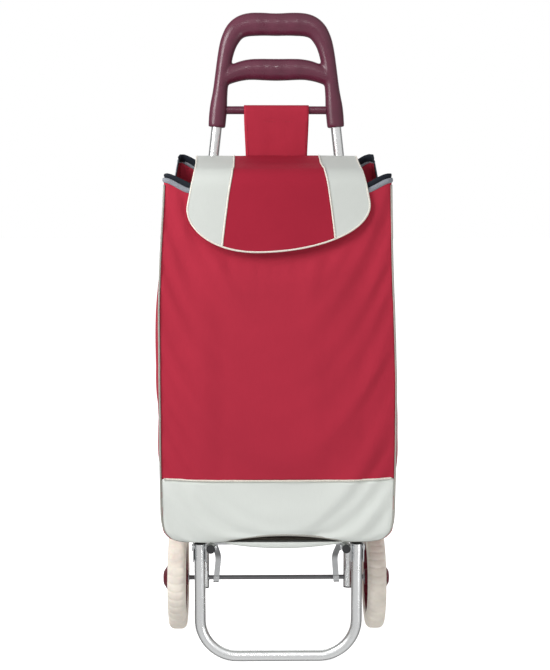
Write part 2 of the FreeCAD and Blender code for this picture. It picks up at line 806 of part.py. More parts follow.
def bag_panels():
    """The bag's five cloth panels and the board in its base."""
    half, front, rear, bottom = dim.bag_half, dim.bag_front, dim.bag_rear, dim.bag_bottom
    cloth = dim.cloth
    face = [
        (-half, bottom, CORNER),
        (half, bottom, CORNER),
        (half, dim.rim_front),
        (-half, dim.rim_front),
    ]
    panel = padded("front_panel_body", "XZ_Plane", [face], cloth)
    place(panel, 0, front + cloth, 0)
    finished(panel, "bag_front_panel")
    face = [
        (-half, bottom, CORNER),
        (half, bottom, CORNER),
        (half, dim.rim_rear),
        (-half, dim.rim_rear),
    ]
    panel = padded("rear_panel_body", "XZ_Plane", [face], cloth)
    place(panel, 0, rear, 0)
    finished(panel, "bag_rear_panel")
    low = bottom + BASE_RISE
    slope = rim_slope(cloth, 0, 0)
    side_face = [(front + cloth, low), (rear - cloth, low), slope[1], slope[0]]
    for name, side in SIDES.items():
        panel = padded(f"side_panel_body_{name}", "YZ_Plane", [side_face], cloth)
        place(panel, half - cloth if side == RIGHT else -half, 0, 0)
        finished(panel, f"bag_side_{name}")
    inner = CORNER - cloth
    section = [
        (-half, low),
        (-half, bottom, CORNER),
        (half, bottom, CORNER),
        (half, low),
        (half - cloth, low),
        (half - cloth, bottom + cloth, inner),
        (cloth - half, bottom + cloth, inner),
        (cloth - half, low),
    ]
    base = padded("base_panel_body", "XZ_Plane", [section], rear - front - cloth * 2)
    place(base, 0, rear - cloth, 0)
    finished(base, "bag_base_panel")
    board = bottom + cloth + BOARD_GAP
    reach = half - CORNER - BOARD_GAP
    stiffener = box(
        "stiffener",
        (-reach, reach),
        (front + cloth + 1, rear - cloth - 1),
        (board, board + BOARD),
    )
    finished(stiffener, "base_board")


def rim_hollow(name, wall):
    """The upright opening inside a strip round the rim, a wall's thickness in from the bag's outside."""
    x = (wall - dim.bag_half, dim.bag_half - wall)
    y = (dim.bag_front + wall, dim.bag_rear - wall)
    return box(name, x, y, (dim.rim_front - 100, dim.rim_rear + 100))


def bag_trim():
    """The pale front band, the piping round the front panel, the rim's binding and the collar."""
    half, front, rear = dim.bag_half, dim.bag_front, dim.bag_rear
    face = [
        (BAND_INSET - half, dim.bag_bottom + BAND_RISE, CORNER - BAND_INSET / 2),
        (half - BAND_INSET, dim.bag_bottom + BAND_RISE, CORNER - BAND_INSET / 2),
        (half - BAND_INSET, dim.band_top),
        (BAND_INSET - half, dim.band_top),
    ]
    band = padded("band_body", "XZ_Plane", [face], BAND_CLOTH)
    place(band, 0, front - FIT, 0)
    finished(band, "bag_front_band")

    x = half - PIPING_INSET
    low = dim.bag_bottom + PIPING_INSET
    path = [
        (-x, 0),
        (-x, low - dim.rim_front, CORNER),
        (x, low - dim.rim_front, CORNER),
        (x, 0),
    ]
    piping = tube("piping_body", path, PIPING_RADIUS, hollow=False, start_x=-x)
    place(piping, 0, front - PIPING_RADIUS - FIT, dim.rim_front)
    finished(piping, "bag_piping")

    strip = rim_slope(-BINDING_OVERHANG, BINDING_GAP, dim.binding_rise)
    width = (half + BINDING_OVERHANG) * 2
    outside = padded("binding_outside", "YZ_Plane", [strip], width, middle=True)
    hollow = rim_hollow("binding_hollow", dim.cloth + 1)
    finished(without("binding", outside, [hollow]), "rim_binding")

    inset = dim.cloth + COLLAR_INSET
    strip = rim_slope(inset, -COLLAR_DEPTH, dim.binding_rise - BINDING_GAP)
    outside = padded("collar_outside", "YZ_Plane", [strip], (half - inset) * 2, middle=True)
    hollow = rim_hollow("collar_hollow", inset + COLLAR_WALL)
    finished(without("collar", outside, [hollow]), "bag_collar")


def bag_hangers():
    """The webbing loops round the uprights, and the strap that hangs the bag from the hanger bar."""
    loops = []
    inner = dim.upright_radius + LOOP_GAP
    for name, side in SIDES.items():
        at = {"axis": "z", "x": dim.upright_spacing / 2 * side, "y": dim.upright_y}
        for level, z in LOOP_LEVELS.items():
            loops.append(ring(f"loop_{name}_{level}", inner, inner + LOOP_WALL, z, LOOP_HEIGHT, **at))
    finished(fused("loop_group", loops), "bag_loops")

    y, z = dim.upright_y, dim.hanger_z
    inner = dim.hanger_radius + LOOP_GAP
    outer = inner + STRAP_CLOTH
    half = STRAP_HALF
    roll = cylinder("strap_roll", outer, -half, 2 * half, "x", y=y, z=z)
    fall = box("strap_fall", (-half, half), (y - outer, y - inner), (STRAP_FALL, z))
    core = cylinder("strap_core", inner, -half, 2 * half, "x", y=y, z=z)
    finished(without("strap_hung", fused("strap_whole", [roll, fall]), [core]), "hanging_strap")

    bar = cylinder("hanger_rod", dim.hanger_radius, -HANGER_HALF, 2 * HANGER_HALF, "x", y=y, z=z)
    finished(bar, "hanger_bar")


def flap():
    """The flap: over the rim from the hinge seam at the back, and down the front."""
    outer = -dim.flap_face
    inner = outer + dim.flap_cloth
    seam = dim.bag_rear - HINGE_INSET
    top = dim.rim_rear + HINGE_RISE
    crest = dim.rim_front + CREST_RISE
    profile = [
        (seam, top + dim.flap_cloth),
        (outer, crest + dim.flap_cloth, CREST_ROUNDING),
        (outer, dim.flap_bottom),
        (inner, dim.flap_bottom),
        (inner, crest, CREST_ROUNDING - dim.flap_cloth),
        (seam, top),
    ]
    folded = padded("flap_folded", "YZ_Plane", [profile], dim.flap_half * 2, middle=True)
    face = [
        (-dim.flap_half, dim.flap_bottom, FLAP_ROUNDING),
        (dim.flap_half, dim.flap_bottom, FLAP_ROUNDING),
        (dim.flap_half, dim.upright_top_z),
        (-dim.flap_half, dim.upright_top_z),
    ]
    cutter = padded("flap_face", "XZ_Plane", [face], 400, middle=True)
    panel = doc.addObject("Part::Common", "flap_panel")
    panel.Base = folded
    panel.Tool = cutter
    finished(panel, "flap")

    z = (dim.flap_bottom + PATCH_RISE, dim.flap_bottom + PATCH_TOP)
    x = (-PATCH_HALF, PATCH_HALF)
    hook = box("hook_patch", x, (inner + FIT, inner + 1.2 + FIT), z)
    finished(hook, "closure_hook_patch")
    loop = box("loop_patch", x, (dim.bag_front - 1.5, dim.bag_front - FIT), z)
    finished(loop, "closure_loop_patch")


def check_and_export():
    doc.recompute()
    for thing in doc.Objects:
        if "Invalid" in thing.State or "Error" in thing.State:
            raise RuntimeError(f"{thing.Label} failed: {thing.State}")
    for thing in subparts:
        if thing.Shape.isNull() or not thing.Shape.isValid() or not thing.Shape.Solids:
            raise RuntimeError(f"{thing.Label} has no valid solid")
    os.makedirs("parts", exist_ok=True)
    for thing in subparts:
        thing.Shape.exportStep(f"parts/{thing.Label}.step")


for side_name, side_sign in SIDES.items():
    upright(side_sign, f"upright_{side_name}")
    wheel(side_sign, side_name)
    platform_tube(side_sign, side_name)
    hook_strap(side_sign, side_name)
    leg_bracket(side_sign, side_name)
upright_end_plugs()
back_brace()
handle()
axle_parts()
platform_bars_and_plugs()
pivot_rivets()
hook_rivets()
foot_rivets()
foot()
bag_panels()
bag_trim()
bag_hangers()
flap()
check_and_export()
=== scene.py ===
import json
import math

import bpy
import numpy as np
from mathutils import Matrix, Vector, noise

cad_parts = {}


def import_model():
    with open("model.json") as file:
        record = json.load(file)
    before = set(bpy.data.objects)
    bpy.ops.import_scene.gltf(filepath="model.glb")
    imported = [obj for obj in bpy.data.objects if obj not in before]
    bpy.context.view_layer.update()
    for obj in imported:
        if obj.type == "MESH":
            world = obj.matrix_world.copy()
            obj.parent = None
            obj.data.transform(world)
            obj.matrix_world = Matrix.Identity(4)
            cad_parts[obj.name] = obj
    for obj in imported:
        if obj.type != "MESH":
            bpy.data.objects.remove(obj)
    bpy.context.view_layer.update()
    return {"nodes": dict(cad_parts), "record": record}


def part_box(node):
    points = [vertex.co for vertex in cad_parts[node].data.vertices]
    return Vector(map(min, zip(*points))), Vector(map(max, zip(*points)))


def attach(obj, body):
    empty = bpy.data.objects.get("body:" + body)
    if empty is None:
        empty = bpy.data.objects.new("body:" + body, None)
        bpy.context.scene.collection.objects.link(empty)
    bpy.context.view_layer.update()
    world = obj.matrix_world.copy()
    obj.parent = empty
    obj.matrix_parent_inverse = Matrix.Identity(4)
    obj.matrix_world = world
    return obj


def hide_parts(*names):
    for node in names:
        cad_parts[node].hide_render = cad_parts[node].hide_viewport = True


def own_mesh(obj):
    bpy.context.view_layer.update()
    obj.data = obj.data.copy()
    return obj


# A red and grey shopping trolley on a chrome tube frame. Metres; the bag's front faces -Y.

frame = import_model()
scene = bpy.context.scene
CLOTH, FLAP_CLOTH, STRAP_CLOTH, WEBBING = 0.001, 0.0018, 0.0014, 0.0011  # thicknesses
THREAD = 0.0007
WEAVE_HEIGHT, PLASTIC_GRAIN = 0.00012, 0.000012


# Materials


def srgb(red, green, blue):
    """A display colour, 0 to 255, as a linear one."""
    parts = [c / 255 for c in (red, green, blue)]
    return [c / 12.92 if c < 0.04 else ((c + 0.055) / 1.055) ** 2.4 for c in parts] + [1]


def fill_ramp(node, stops):
    """Sets a colour ramp's stops: each a position with a colour or a grey."""
    elements = node.color_ramp.elements
    while len(elements) < len(stops):
        elements.new(0.5)
    for element, (position, colour) in zip(elements, stops):
        element.position = position
        element.color = colour if hasattr(colour, "__len__") else (colour, colour, colour, 1)


class Finish:
    """A Principled material and the short calls that add its detail."""

    def __init__(self, name, roughness=0.5, metallic=0.0, **sockets):
        self.material = bpy.data.materials.new(name)
        self.material.use_nodes = True
        self.nodes = self.material.node_tree.nodes
        self.links = self.material.node_tree.links
        self.shader = self.nodes["Principled BSDF"]
        self.set("Roughness", roughness)
        self.set("Metallic", metallic)
        for socket, value in sockets.items():
            self.set(socket.replace("_", " "), value)
        self.place = self.nodes.new("ShaderNodeTexCoord").outputs["Object"]

    def set(self, socket, value):
        self.shader.inputs[socket].default_value = value

    def stretched(self, x, y, z):
        """The object's coordinates, stretched so that a texture runs along one direction."""
        mapping = self.nodes.new("ShaderNodeMapping")
        mapping.inputs["Scale"].default_value = (x, y, z)
        self.links.new(self.place, mapping.inputs["Vector"])
        return mapping.outputs["Vector"]

    def noise(self, scale, detail=3, vector=None):
        texture = self.nodes.new("ShaderNodeTexNoise")
        texture.inputs["Scale"].default_value = scale
        texture.inputs["Detail"].default_value = detail
        self.links.new(vector or self.place, texture.inputs["Vector"])
        return texture.outputs["Fac"]

    def wave(self, direction, period):
        """Threads across one direction, a given distance apart."""
        texture = self.nodes.new("ShaderNodeTexWave")
        texture.bands_direction = direction
        texture.inputs["Scale"].default_value = 2 * math.pi / 20 / period
        self.links.new(self.place, texture.inputs["Vector"])
        return texture.outputs["Fac"]

    def math(self, operation, a, b):
        node = self.nodes.new("ShaderNodeMath")
        node.operation = operation
        for socket, value in zip(node.inputs, (a, b)):
            if isinstance(value, (int, float)):
                socket.default_value = value
            else:
                self.links.new(value, socket)
        return node.outputs[0]

    def ramp(self, factor, stops, output):
        """Colours or greys along a factor, joined to a shader socket."""
        node = self.nodes.new("ShaderNodeValToRGB")
        fill_ramp(node, stops)
        self.links.new(factor, node.inputs["Fac"])
        self.links.new(node.outputs["Color"], self.shader.inputs[output])

    def bump(self, height, distance, strength=1.0):
        node = self.nodes.new("ShaderNodeBump")
        node.inputs["Strength"].default_value = strength
        node.inputs["Distance"].default_value = distance
        self.links.new(height, node.inputs["Height"])
        self.links.new(node.outputs["Normal"], self.shader.inputs["Normal"])


def shade(colour, factor):
    return [min(1, c * factor) for c in colour[:3]] + [1]


def cloth_finish(name, colour, variation=0.07, gloss=0.14, sheen=0.02):
    """Plain-woven coated polyester: fine threads both ways, with soft blotches and faint creases."""
    finish = Finish(name, 0.78, Sheen_Weight=sheen, Specular_IOR_Level=gloss)
    blotch = finish.noise(9, 5)
    thread_noise = finish.noise(1, 2, finish.stretched(900, 900, 60))
    mixed = finish.math("MULTIPLY_ADD", thread_noise, 0.35)
    finish.links.new(blotch, mixed.node.inputs[2])
    dark, light = shade(colour, 1 - variation), shade(colour, 1 + variation)
    finish.ramp(mixed, [(0.38, dark), (0.98, light)], "Base Color")
    across = finish.math("MAXIMUM", finish.wave("X", THREAD), finish.wave("Y", THREAD))
    weave = finish.math("MULTIPLY", across, finish.wave("Z", THREAD))
    crumple = finish.math("MULTIPLY", finish.noise(55, 6), 4.0)
    finish.bump(finish.math("ADD", weave, crumple), WEAVE_HEIGHT, 0.6)
    return finish.material


def plastic_finish(name, colour, roughness):
    """Moulded plastic: a fine grain, slightly uneven gloss, and colour a little lighter where it wears."""
    finish = Finish(name, roughness)
    finish.ramp(finish.noise(30, 4), [(0.3, shade(colour, 0.9)), (0.75, shade(colour, 1.12))], "Base Color")
    finish.ramp(finish.noise(70, 5), [(0.3, roughness * 0.8), (0.75, roughness * 1.25)], "Roughness")
    finish.bump(finish.noise(1600, 2), PLASTIC_GRAIN)
    return finish.material


def metal_finish(name, colour, roughness, along=(1, 1, 1), uneven=0.25, grain=0.000015):
    """Metal with fine marks that run along one direction and uneven gloss."""
    finish = Finish(name, roughness, 1.0)
    marks = finish.noise(1, 4, finish.stretched(*(900 * a for a in along)))
    low, high = roughness * (1 - uneven), roughness * (1 + uneven)
    finish.ramp(finish.noise(40, 1), [(0.3, low), (0.75, high)], "Roughness")
    finish.ramp(marks, [(0.25, shade(colour, 0.93)), (0.75, shade(colour, 1.04))], "Base Color")
    finish.bump(marks, grain)
    return finish.material


def foam_finish(name, colour):
    """Foamed rubber: matt, with small pores and greyer scuffs where it rolls."""
    finish = Finish(name, 0.85, Specular_IOR_Level=0.25, Subsurface_Weight=0.05)
    finish.ramp(finish.noise(45, 6), [(0.32, shade(colour, 0.86)), (0.7, shade(colour, 1.05))], "Base Color")
    finish.bump(finish.math("ADD", finish.noise(900, 2), finish.noise(180, 4)), 0.00025, 0.7)
    return finish.material


def tape_finish(name, colour, rib=0.0016, bump=0.0002):
    """Ribbed tape or webbing, with ribs across its length."""
    finish = Finish(name, 0.8, Specular_IOR_Level=0.25, Sheen_Weight=0.15)
    ribs = finish.math("MAXIMUM", finish.wave("X", rib), finish.wave("Z", rib))
    fuzz = finish.noise(700, 3)
    finish.ramp(fuzz, [(0.3, shade(colour, 0.8)), (0.75, shade(colour, 1.2))], "Base Color")
    finish.bump(finish.math("ADD", ribs, fuzz), bump, 0.8)
    return finish.material


RED = srgb(176, 44, 64)
GREY = srgb(214, 218, 213)
BURGUNDY = srgb(94, 37, 58)
FINISHES = {
    "chrome_tube": metal_finish("chrome", (0.9, 0.91, 0.91, 1), 0.28, uneven=0.1, grain=0.000001),
    "bright_steel": metal_finish("zinc_plate", (0.66, 0.67, 0.68, 1), 0.34, (0.3, 1, 1)),
    "axle_steel": metal_finish("axle_steel", (0.2, 0.2, 0.21, 1), 0.42, (0.1, 1, 1)),
    "handle_plastic": plastic_finish("handle_plastic", BURGUNDY, 0.32),
    "black_plastic": plastic_finish("black_plastic", (0.02, 0.02, 0.022, 1), 0.5),
    "hub_plastic": plastic_finish("hub_plastic", srgb(112, 30, 46), 0.28),
    "tyre_foam": foam_finish("tyre_foam", srgb(250, 241, 229)),
    "red_fabric": cloth_finish("red_cloth", RED),
    # The flap's red is the bag's red cloth darkened: painted shade on the flap.
    "flap_red": cloth_finish("flap_red_painted_shade", shade(RED, 0.83), gloss=0.03, sheen=0),
    "grey_fabric": cloth_finish("grey_cloth", shade(GREY, 1.10), variation=0.035),
    # The flap's grey is the grey cloth darkened: painted shade on the flap's side panels.
    "flap_grey": cloth_finish("flap_grey_painted_shade", shade(GREY, 0.92), variation=0.035),
    "black_fabric": cloth_finish("black_lining", srgb(34, 38, 46), variation=0.2),
    "piping": tape_finish("cream_piping", srgb(232, 227, 216), 0.0012, 0.0001),
    # The front's edge cord is the cream piping darkened: painted shade along the front's edges.
    "edge_piping": tape_finish("piping_painted_shade", srgb(168, 166, 158), 0.0012, 0.0001),
    "binding": tape_finish("grey_binding", srgb(140, 144, 152), 0.0012, 0.00012),
    "webbing": tape_finish("black_webbing", srgb(30, 30, 32)),
    "board": plastic_finish("base_board", srgb(96, 88, 78), 0.8),
    "hook_and_loop": tape_finish("hook_and_loop", srgb(26, 26, 28), 0.0009, 0.0006),
    "thread": tape_finish("thread", srgb(150, 40, 56), 0.0006, 0.00005),
}


# Meshes


def piece(name, vertices, faces, finish, slot=None, body="frame", replaces=()):
    """A mesh piece with smooth shading that rides on a body."""
    mesh = bpy.data.meshes.new(name)
    mesh.from_pydata([tuple(map(float, v)) for v in vertices], [], [tuple(map(int, f)) for f in faces])
    mesh.validate()
    mesh.polygons.foreach_set("use_smooth", [True] * len(mesh.polygons))
    made = bpy.data.objects.new(name, mesh)
    scene.collection.objects.link(made)
    made.data.materials.append(FINISHES[finish])
    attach(made, body)
    if replaces:
        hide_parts(*replaces)
    return made


def quads(rows, columns, round_rows=False, round_columns=False):
    """The faces of a grid of rows by columns, closed up where it goes all the way round."""
    last_row = rows if round_rows else rows - 1
    last_column = columns if round_columns else columns - 1
    faces = []
    for r in range(last_row):
        for c in range(last_column):
            after, beside = (r + 1) % rows, (c + 1) % columns
            here, there = r * columns, after * columns
            faces.append((here + c, here + beside, there + beside, there + c))
    return faces


def apply(obj, kind, **settings):
    """Adds a modifier with its settings and applies it."""
    modifier = obj.modifiers.new(kind, kind)
    for name, value in settings.items():
        setattr(modifier, name, value)
    apply_modifier(obj, modifier)


def apply_modifier(obj, modifier):
    with bpy.context.temp_override(object=obj, active_object=obj, selected_objects=[obj]):
        bpy.ops.object.modifier_apply(modifier=modifier.name)


def sweep(path, profile, up=(0, 0, 1), closed=False, scale=None):
    """(vertices, faces) of a profile of (outward, upward) points carried along a path."""
    path, profile = np.array(path, float), np.array(profile, float)
    if closed:
        along = np.roll(path, -1, 0) - np.roll(path, 1, 0)
    else:
        along = np.gradient(path, axis=0)
    along /= np.linalg.norm(along, axis=1)[:, None]
    out = np.cross(along, np.array(up, float))
    out /= np.linalg.norm(out, axis=1)[:, None]
    rise = np.cross(out, along)
    sizes = np.ones(len(path)) if scale is None else np.array(scale, float)
    rings = path[:, None] + sizes[:, None, None] * (
        out[:, None] * profile[None, :, :1] + rise[:, None] * profile[None, :, 1:]
    )
    count = len(profile)
    faces = quads(len(path), count, round_rows=closed, round_columns=True)
    if not closed:
        faces += [tuple(range(count)), tuple(range(len(path) * count - 1, (len(path) - 1) * count - 1, -1))]
    return rings.reshape(-1, 3), faces


def oval(width, height, points=10):
    turns = [2 * math.pi * i / points for i in range(points)]
    return [(width / 2 * math.cos(a), height / 2 * math.sin(a)) for a in turns]


def smooth_step(x, low, high):
    t = np.clip((x - low) / (high - low), 0, 1)
    return t * t * (3 - 2 * t)


def hump(x, middle, width):
    return np.exp(-(((x - middle) / width) ** 2))


# The flap's free edge, which the bag's folds follow

FLAP_HALF = 0.1302
FLAP_LOW_X, FLAP_LOW_Z = -0.033, 0.602


def flap_bottom(x):
    """The free edge: two quarter ovals that meet at its lowest point, left of the middle."""
    left, right = FLAP_HALF + FLAP_LOW_X, FLAP_HALF - FLAP_LOW_X
    share = np.clip(np.where(x < FLAP_LOW_X, (FLAP_LOW_X - x) / left, (x - FLAP_LOW_X) / right), 0, 1)
    return FLAP_LOW_Z + np.where(x < FLAP_LOW_X, 0.062, 0.067) * (1 - np.sqrt(1 - share**2))


# The bag: one shell with a shaped rim, simulated as cloth and then cut into its panels

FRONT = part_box("bag_front_panel")[0].y
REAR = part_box("bag_rear_panel")[1].y
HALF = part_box("bag_front_panel")[1].x
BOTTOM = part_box("bag_base_panel")[0].z + 0.0025
RIM_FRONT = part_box("bag_front_panel")[1].z
RIM_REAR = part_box("bag_rear_panel")[1].z
BAND_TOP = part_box("bag_front_band")[1].z
MID_DEPTH = (FRONT + REAR) / 2
BELLY_HEIGHTS = [BOTTOM, 0.200, 0.215, 0.304, 0.42, 0.52, 0.62, RIM_FRONT, RIM_REAR]
BELLY_HALVES = [0.1620, 0.1676, 0.1700, 0.1714, 0.1716, 0.1700, 0.1662, 0.1628, 0.1625]
WIDE_COLUMNS, DEEP_COLUMNS = 48, 30  # columns of the shell along the front or rear, and along a side
COLUMNS = 2 * (WIDE_COLUMNS + DEEP_COLUMNS)
CORNERS = [0, WIDE_COLUMNS, WIDE_COLUMNS + DEEP_COLUMNS, 2 * WIDE_COLUMNS + DEEP_COLUMNS, COLUMNS]
FRONT_SPAN, RIGHT_SPAN, REAR_SPAN, LEFT_SPAN = [range(a, b + 1) for a, b in zip(CORNERS, CORNERS[1:])]
SEAM_COLUMN = 22  # near the middle of the front, where the band's height is measured
SEAM_SAG = 0.0035
FOOT_ROUNDING = 0.022
BASE_LIP = 0.0085
LIP_ROWS = [(1, 0), (0.9985, 0.5), (0.997, 0.85), (0.990, 1), (0.96, 1), (0.92, 0.75), (0.86, 0.3), (0.75, 0),
            (0.4, 0)]  # (share of the base's outline, share of the lip's depth)
SETTLE_FRAMES = 22
MOST_MOVED = 0.0045


def around():
    """The bag's outline seen from above, as (x, y) from -1 to 1, starting at the front left."""
    ring = []
    turns = np.array([(-1, -1), (1, -1), (1, 1), (-1, 1), (-1, -1)])
    for start, end, count in zip(turns, turns[1:], np.diff(CORNERS)):
        along = np.linspace(0, 1, count, endpoint=False)[:, None]
        ring.append(start + (end - start) * along)
    return np.concatenate(ring)


def rim_height(x, y):
    """The rim stands up at its four corners and sags between them."""
    rise = RIM_FRONT + (RIM_REAR + 0.002 - RIM_FRONT) * (y + 1) / 2
    sag_across = 0.016 * smooth_step(1 - abs(x), 0, 0.26)
    sag_deep = 0.040 * smooth_step(1 - abs(y), 0, 0.75)
    return rise - np.where(abs(abs(y) - 1) < 1e-6, sag_across, sag_deep)


def base_height(x, y):
    """The base seam, which lifts a little in the middle of the front."""
    front = np.clip(-y, 0, 1) ** 8
    return BOTTOM + 0.0110 * front * np.clip(1 - ((x - 0.06) / 0.60) ** 2, 0, 1)


def shell_point(x, y, z, t):
    """A point of the shell from its place round the outline, its height z and its share t of that height."""
    wide = np.interp(z, BELLY_HEIGHTS, BELLY_HALVES)
    rear_draw = 0.012 * smooth_step(z, 0.58, RIM_REAR) * (y + 1) / 2
    near_foot = np.clip((BOTTOM + FOOT_ROUNDING - z) / FOOT_ROUNDING, 0, 1)
    tuck = FOOT_ROUNDING * (1 - np.sqrt(1 - near_foot**2))
    bulge = 0.004 + np.where(x < 0, 0.010 * hump(z, 0.49, 0.14), 0.012 * hump(z, 0.29, 0.13))
    side_bulge = bulge * (1 - y**2) * np.sin(math.pi * np.clip(t, 0, 1)) ** 0.7
    lean = -0.0030 * hump(z, 0.57, 0.12) - 0.0012 * hump(z, 0.25, 0.15)
    on_side = abs(abs(x) - 1) < 1e-6
    px = x * (wide - rear_draw - tuck) + np.where(on_side, np.sign(x) * side_bulge, 0) + lean
    open_front = np.sin(math.pi * np.clip((z - 0.2) / 0.42, 0, 1)) ** 0.8
    front_bulge = 0.0055 * (1 - x**2) * open_front
    below = flap_bottom(px) - z
    under_flap = 0.0095 * hump(below, 0.004, 0.017) - 0.003 * hump(below, 0.042, 0.020)
    under_flap = under_flap * (1 - abs(x) ** 4)
    creases = 0.0016 * hump(x, -0.62, 0.09) - 0.0012 * hump(x, -0.46, 0.07) + 0.0014 * hump(x, 0.3, 0.1)
    creases = (creases - 0.0012 * hump(x, 0.72, 0.06)) * open_front
    front = FRONT + tuck * 0.4 - front_bulge + under_flap - creases
    rear = REAR - tuck * 0.4 - 0.003 * (1 - x**2) * np.sin(math.pi * t)
    py = front + (rear - front) * (y + 1) / 2
    return px, py


def shell_grid():
    """The rows of the shell, from the base seam to the rim."""
    ring = around()
    low = np.array([0, 0.0015, 0.004, 0.0075, 0.0115, 0.016]) / 0.53  # close rows round the foot's curve
    rows = np.concatenate([low, np.linspace(0.042, 1, 68)])
    points = np.zeros((len(rows), len(ring), 3))
    x, y = ring[:, 0], ring[:, 1]
    bottom, top = base_height(x, y), rim_height(x, y)
    for i, t in enumerate(rows):
        z = bottom + (top - bottom) * t
        px, py = shell_point(x, y, z, t)
        points[i] = np.stack([px, py, z], 1)
    return points


def rounded_corners(points):
    """Softens the four upright corners, which are seams and not folds."""
    for corner in CORNERS[:4]:
        before, after = (corner - 1) % COLUMNS, corner + 1
        for _ in range(2):
            points[:, corner] = 0.5 * points[:, corner] + 0.25 * (points[:, before] + points[:, after])
    return points


def draped(points):
    """The shell once its cloth has settled, held at the rim, the base seam and the corner seams."""
    rows, columns = points.shape[:2]
    shell = piece("bag_shell", points.reshape(-1, 3), quads(rows, columns, round_columns=True), "red_fabric")
    held = shell.vertex_groups.new(name="held")
    held.add([row * columns + corner for row in range(1, rows - 1) for corner in CORNERS[:4]], 0.9, "REPLACE")
    held.add([row * columns + column for row in (0, rows - 1) for column in range(columns)], 1.0, "REPLACE")
    cloth = shell.modifiers.new("cloth", "CLOTH")
    settings = cloth.settings
    settings.quality = 6
    settings.mass = 0.25
    settings.tension_stiffness = settings.compression_stiffness = 12
    settings.shear_stiffness = 4
    settings.bending_stiffness = 0.35
    settings.vertex_group_mass = "held"
    settings.shrink_min = -0.018
    settings.use_pressure = True
    settings.uniform_pressure_force = 0.35
    for frame_number in range(1, SETTLE_FRAMES + 1):
        scene.frame_set(frame_number)
    apply_modifier(shell, cloth)
    settled = np.array([v.co for v in shell.data.vertices]).reshape(points.shape)
    bpy.data.objects.remove(shell)
    moved = settled - points
    reach = np.linalg.norm(moved, axis=2, keepdims=True)
    return points + moved * np.minimum(1, MOST_MOVED / np.maximum(reach, 1e-9))


def panel(name, points, rows, columns, finish, cad_node):
    """One cloth panel of the shell, from a range of its rows and columns."""
    patch = points[np.ix_(rows, [c % COLUMNS for c in columns])]
    made = piece(name, patch.reshape(-1, 3), quads(*patch.shape[:2]), finish, replaces=[cad_node])
    apply(made, "SUBSURF", levels=1)
    apply(made, "SOLIDIFY", thickness=CLOTH, offset=-1.0, use_even_offset=False)
    flatten(made)


def flatten(obj):
    """Gives the piece a mesh of its own, not shared with any other object."""
    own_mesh(obj)


def seam_line(points, rows, columns, lift=0.0):
    """The points of the shell along a seam, moved a little outwards from the bag's middle."""
    line = np.array([points[r, c % COLUMNS] for r in rows for c in columns])
    out = line - np.array([0, MID_DEPTH, 0])
    out[:, 2] = 0
    out /= np.linalg.norm(out, axis=1)[:, None]
    return line + out * lift


def trim(name, path, profile, finish, slot, cad_nodes=(), body="frame", **sweeping):
    """A cord or tape swept along a path, as one piece on a body."""
    flatten(piece(name, *sweep(path, profile, **sweeping), finish, slot, body, cad_nodes))


def spaced(path, count, closed=False):
    """A path's points at equal spacing, which keeps a thin cord even."""
    path = np.array(path, float)
    if closed:
        path = np.vstack([path, path[:1]])
    steps = np.concatenate([[0], np.cumsum(np.linalg.norm(np.diff(path, axis=0), axis=1))])
    places = np.linspace(0, steps[-1], count, endpoint=not closed)
    return np.stack([np.interp(places, steps, path[:, k]) for k in range(3)], 1)


def evened(path):
    """A path with its small wobbles smoothed away and its ends kept."""
    path = np.array(path, float)
    for _ in range(6):
        path[1:-1] = 0.5 * path[1:-1] + 0.25 * (path[:-2] + path[2:])
    return path


def build_bag():
    points = rounded_corners(shell_grid())
    points = draped(points)
    seam = int(np.argmin(abs(points[:, SEAM_COLUMN, 2] - BAND_TOP)))
    share = np.linspace(-1, 1, len(FRONT_SPAN))
    points[seam, FRONT_SPAN, 2] = BAND_TOP - SEAM_SAG * (1 - share**4)
    rows = list(range(len(points)))
    wide, deep, tall = 2 * HALF, REAR - FRONT, RIM_REAR - BOTTOM
    band_tall, front_tall = BAND_TOP - BOTTOM, RIM_FRONT - BAND_TOP
    for name, span_rows, span, finish, cad_node, flat in (
        ("bag_front", rows[seam:], FRONT_SPAN, "red_fabric", "bag_front_panel", (wide, front_tall)),
        ("bag_band", rows[: seam + 1], FRONT_SPAN, "grey_fabric", "bag_front_band", (wide, band_tall)),
        ("bag_side_right_cloth", rows, RIGHT_SPAN, "red_fabric", "bag_side_right", (deep, tall)),
        ("bag_rear", rows, REAR_SPAN, "red_fabric", "bag_rear_panel", (wide, tall)),
        ("bag_side_left_cloth", rows, LEFT_SPAN, "red_fabric", "bag_side_left", (deep, tall)),
    ):
        panel(name, points, span_rows, span, finish, cad_node)
    base(points[0].copy())
    trims(points, seam)
    return points


def base(ring):
    """The grey base: flat on the platform, with a front lip that hangs below the band's raised edge."""
    ring[:, 2] = BOTTOM
    middle = np.array([0, MID_DEPTH, 0])
    at_front = smooth_step(-ring[:, 1], -FRONT - 0.030, -FRONT - 0.010)
    lip = BASE_LIP * at_front * np.clip(1 - ((ring[:, 0] - 0.006) / 0.096) ** 2, 0, 1)
    rows = []
    for share, depth in LIP_ROWS:
        row = middle + (ring - middle) * share
        row[:, 1] += 0.0015 * at_front
        row[:, 2] = BOTTOM - lip * depth
        rows.append(row)
    centre = middle + np.array([0, 0, BOTTOM])
    vertices = np.vstack([*rows, centre])
    faces = quads(len(rows), COLUMNS, round_columns=True)
    inner = (len(rows) - 1) * COLUMNS
    faces += [(inner + i, inner + (i + 1) % COLUMNS, len(vertices) - 1) for i in range(COLUMNS)]
    made = piece("bag_base", vertices, [f[::-1] for f in faces], "grey_fabric", replaces=["bag_base_panel"])
    apply(made, "SOLIDIFY", thickness=CLOTH, offset=1.0)
    flatten(made)
    low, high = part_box("base_board")
    inset = Vector((0.0145, 0.012, 0))  # keeps the board inside the drawn-in foot
    board = slab(low + inset, high - inset, 0.012)
    flatten(piece("base_stiffener", *board, "board", replaces=["base_board"]))


